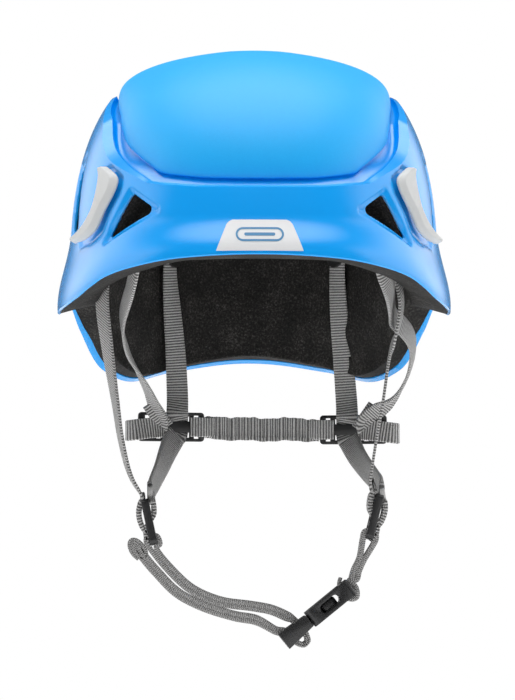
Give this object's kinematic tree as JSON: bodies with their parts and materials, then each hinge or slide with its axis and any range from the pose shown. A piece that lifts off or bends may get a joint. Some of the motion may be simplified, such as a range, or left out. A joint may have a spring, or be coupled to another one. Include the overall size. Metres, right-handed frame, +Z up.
{
  "type": "climbing helmet",
  "caption": "Climbing helmet with a domed crown cap on a brimmed lower shell, foam liner, headlamp clips and a webbing chin and nape harness.",
  "frame": {"origin": "the head seat: the middle of the crown pad's underside, where the top of the wearer's head rests", "axes": "+Z up, the front of the helmet faces -Y, +X is to the right as seen from the front; left and right in names are as seen from the front"},
  "size_m": [0.2208, 0.2633, 0.3351],
  "materials": {
    "shell_gloss": "gloss",
    "cap_satin": "satin",
    "foam": "matte",
    "clip_grey": "satin",
    "badge_grey": "satin",
    "pad_cloth": "matte",
    "hook_tape": "matte",
    "anchor_plastic": "matte",
    "webbing": "matte",
    "elastic": "matte",
    "buckle_plastic": "satin"
  },
  "bodies": {
    "helmet": {"lower_shell": "shell_gloss", "crown_cap": "cap_satin", "foam_liner": "foam", "front_badge": "badge_grey", "brow_pad": "pad_cloth", "crown_pad": "pad_cloth", "hook_patches": "hook_tape", "front_anchor_left": "anchor_plastic", "front_anchor_right": "anchor_plastic", "size_anchor_left": "anchor_plastic", "size_anchor_right": "anchor_plastic", "rear_anchor_left": "anchor_plastic", "rear_anchor_right": "anchor_plastic", "front_strap_left": "webbing", "front_strap_right": "webbing", "rear_strap_left": "webbing", "rear_strap_right": "webbing"},
    "size_carriage": {"size_strap_left": "webbing", "size_strap_right": "webbing"},
    "nape_carriage": {"nape_buckle_left": "buckle_plastic", "nape_buckle_right": "buckle_plastic", "nape_band": "elastic"},
    "slider_left": {"side_slider_left": "buckle_plastic"},
    "slider_right": {"side_slider_right": "buckle_plastic"},
    "chin_loop": {"chin_strap_left": "webbing", "chin_strap_tail": "webbing", "chin_strap_right": "webbing", "buckle_female": "buckle_plastic"},
    "buckle_plug": {"buckle_male": "buckle_plastic"},
    "prong_front": {"buckle_prong_front": "buckle_plastic"},
    "prong_rear": {"buckle_prong_rear": "buckle_plastic"},
    "clip_front_left": {"headlamp_clip_front_left": "clip_grey"},
    "clip_front_right": {"headlamp_clip_front_right": "clip_grey"},
    "clip_rear_left": {"headlamp_clip_rear_left": "clip_grey"},
    "clip_rear_right": {"headlamp_clip_rear_right": "clip_grey"}
  },
  "joints": [
    {"name": "clip_flex_front_left", "type": "hinge", "parent": "helmet", "child": "clip_front_left", "pos_m": [-0.07988, -0.07848, -0.04189], "axis": [-0.5931, 0.7952, -0.1262], "range_deg": [0, 3.5], "stiffness_Nm_per_rad": 1},
    {"name": "clip_flex_front_right", "type": "hinge", "parent": "helmet", "child": "clip_front_right", "pos_m": [0.07988, -0.07848, -0.04189], "axis": [-0.5931, -0.7952, 0.1262], "range_deg": [0, 3.5], "stiffness_Nm_per_rad": 1},
    {"name": "clip_flex_rear_left", "type": "hinge", "parent": "helmet", "child": "clip_rear_left", "pos_m": [-0.06867, 0.09896, -0.0383], "axis": [0.7172, 0.6968, 0.0075], "range_deg": [0, 3.5], "stiffness_Nm_per_rad": 1},
    {"name": "clip_flex_rear_right", "type": "hinge", "parent": "helmet", "child": "clip_rear_right", "pos_m": [0.06867, 0.09896, -0.0383], "axis": [0.7172, -0.6968, -0.0075], "range_deg": [0, 3.5], "stiffness_Nm_per_rad": 1},
    {"name": "nape_size", "type": "slide", "parent": "helmet", "child": "size_carriage", "axis": [0, -1, 0], "range_m": [-0.004, 0.025], "deforming": ["size_strap_left", "size_strap_right", "rear_strap_left", "rear_strap_right"]},
    {"name": "nape_height", "type": "slide", "parent": "size_carriage", "child": "nape_carriage", "axis": [0, 0, 1], "range_m": [-0.012, 0.012], "deforming": ["size_strap_left", "size_strap_right"]},
    {"name": "slider_left_travel", "type": "slide", "parent": "helmet", "child": "slider_left", "axis": [0, 0, 1], "range_m": [-0.01, 0.01], "deforming": ["front_strap_left", "rear_strap_left"]},
    {"name": "slider_right_travel", "type": "slide", "parent": "helmet", "child": "slider_right", "axis": [0, 0, 1], "range_m": [-0.01, 0.01], "deforming": ["front_strap_right", "rear_strap_right"]},
    {"name": "chin_swing", "type": "hinge", "parent": "slider_left", "child": "chin_loop", "pos_m": [-0.05609, -0.008, -0.23735], "axis": [0.9997, 0, 0.0257], "range_deg": [-60, 60], "deforming": ["chin_strap_left", "chin_strap_tail", "chin_strap_right"]},
    {"name": "buckle_release", "type": "slide", "parent": "chin_loop", "child": "buckle_plug", "axis": [-0.7771, 0, -0.6293], "range_m": [0, 0.024], "deforming": ["chin_strap_left", "chin_strap_tail"]},
    {"name": "prong_press_front", "type": "hinge", "parent": "buckle_plug", "child": "prong_front", "pos_m": [0.03097, -0.0154, -0.28012], "axis": [-0.6293, 0, 0.7771], "range_deg": [0, 8], "stiffness_Nm_per_rad": 0.1},
    {"name": "prong_press_rear", "type": "hinge", "parent": "buckle_plug", "child": "prong_rear", "pos_m": [0.03097, -0.0006, -0.28012], "axis": [0.6293, 0, -0.7771], "range_deg": [0, 8], "stiffness_Nm_per_rad": 0.1}
  ],
  "couplings": [
    {"joint": "slider_right_travel", "follows": "slider_left_travel", "ratio": 1},
    {"joint": "prong_press_rear", "follows": "prong_press_front", "ratio": 1}
  ]
}
